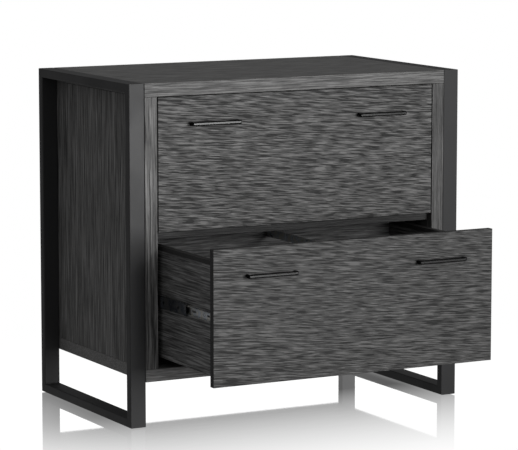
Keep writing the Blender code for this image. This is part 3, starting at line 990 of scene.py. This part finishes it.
mirror = add_node(tree, "ShaderNodeBsdfGlossy", polish).outputs[0]
seen = add_node(tree, "ShaderNodeMixShader", {0: share, 1: glow, 2: mirror}).outputs[0]
dim = {"Color": grey(1.0), "Strength": UNSEEN_GLOW}
unseen = add_node(tree, "ShaderNodeEmission", dim).outputs[0]
camera_ray = add_node(tree, "ShaderNodeLightPath").outputs["Is Camera Ray"]
final = add_node(tree, "ShaderNodeMixShader", {0: camera_ray, 1: unseen, 2: seen}).outputs[0]
add_node(tree, "ShaderNodeOutputMaterial", {"Surface": final})
floor.data.materials.append(material)
print(material.name, "has", len(tree.nodes), "nodes")

# %% [markdown]
# ## Studio light
#
# The camera sees plain white all round. The cabinet itself stands in a dim room, a little
# brighter overhead and in front, and is lit by one large soft box low at the right front.
# The open drawer shades the left of the case from it, and the frames' front faces mirror it.

# %% Set the room
scene = bpy.context.scene
scene.view_settings.view_transform = "Standard"
world = bpy.data.worlds.new("studio")
scene.world = world
world.use_nodes = True
tree = world.node_tree
tree.nodes.clear()
direction = add_node(tree, "ShaderNodeTexCoord").outputs["Generated"]
parts = add_node(tree, "ShaderNodeSeparateXYZ", {0: direction}).outputs
overhead = remap(tree, parts[2], 0.1, 0.9, 0.0, 0.25)
frontward = remap(tree, parts[1], 0.0, -1.0, 0.07, 0.28)
strength = maths(tree, "ADD", overhead, frontward)
room, white = (
    add_node(tree, "ShaderNodeBackground", {"Color": grey(1.0), "Strength": level}).outputs[0]
    for level in (strength, 1.0)
)
camera_ray = add_node(tree, "ShaderNodeLightPath").outputs["Is Camera Ray"]
mixed = add_node(tree, "ShaderNodeMixShader", {0: camera_ray, 1: room, 2: white}).outputs[0]
add_node(tree, "ShaderNodeOutputWorld", {"Surface": mixed})
print("room set:", len(tree.nodes), "nodes")

# %% Hang the soft box
KEY_PLACE = (1.0, -4.1, 0.95)
KEY_TARGET = (0.0, -0.1, 0.4)
KEY_SIZE = 1.8
KEY_POWER = 92.0


def soft_box(name, place, target, width, height, power):
    """A rectangular area light that faces a target."""
    data = bpy.data.lights.new(name, "AREA")
    data.shape = "RECTANGLE"
    data.size = width
    data.size_y = height
    data.energy = power
    light = bpy.data.objects.new(name, data)
    scene.collection.objects.link(light)
    light.location = place
    light.rotation_euler = (Vector(target) - Vector(place)).to_track_quat("-Z", "Y").to_euler()
    light.visible_camera = False
    return light


key = soft_box("key", KEY_PLACE, KEY_TARGET, KEY_SIZE, KEY_SIZE, KEY_POWER)
print(f"{key.name} light, {KEY_SIZE} m square, at {KEY_PLACE}")

# %% [markdown]
# The floor's mirror would show the dim room, and so turn grey. Four walls of light stand round
# it, and light linking lets them reach the floor and nothing else, so that it mirrors white
# wherever it doesn't mirror the cabinet. A wall's radiance is its power over pi times its area.

# %% Stand four walls of light round the floor
WALL_AWAY = 7.0
WALL_WIDTH = 16.0
WALL_HEIGHT = 8.0
only_floor = bpy.data.collections.new("only_floor")
only_floor.objects.link(floor)
target = (0.0, 0.0, WALL_HEIGHT / 2)
power = math.pi * WALL_WIDTH * WALL_HEIGHT
for number, (x, y) in enumerate(((0, 1), (1, 0), (0, -1), (-1, 0))):
    place = (x * WALL_AWAY, y * WALL_AWAY, WALL_HEIGHT / 2)
    wall = soft_box(f"wall_{number}", place, target, WALL_WIDTH, WALL_HEIGHT, power)
    wall.light_linking.receiver_collection = only_floor

# %% [markdown]
# ## Camera
#
# A long lens from the left front, from a little above the cabinet, keeps its edges nearly
# parallel, as a catalogue picture does.

# %% Place the camera
LENS = 195.5
CAMERA_X = -3.031
CAMERA_BACK = 5.487
CAMERA_HEIGHT = 1.295
TILTED_DOWN = 7.88
TURNED_RIGHT = 28.11
data = bpy.data.cameras.new("camera")
data.sensor_width = 36.0
data.lens = LENS
camera = bpy.data.objects.new("camera", data)
scene.collection.objects.link(camera)
camera.location = (CAMERA_X, FRONT_Y - CAMERA_BACK, CAMERA_HEIGHT)
camera.rotation_euler = (math.radians(90 - TILTED_DOWN), 0.0, math.radians(-TURNED_RIGHT))
scene.camera = camera
print(f"{LENS:.0f} mm lens at {tuple(round(v, 2) for v in camera.location)}")
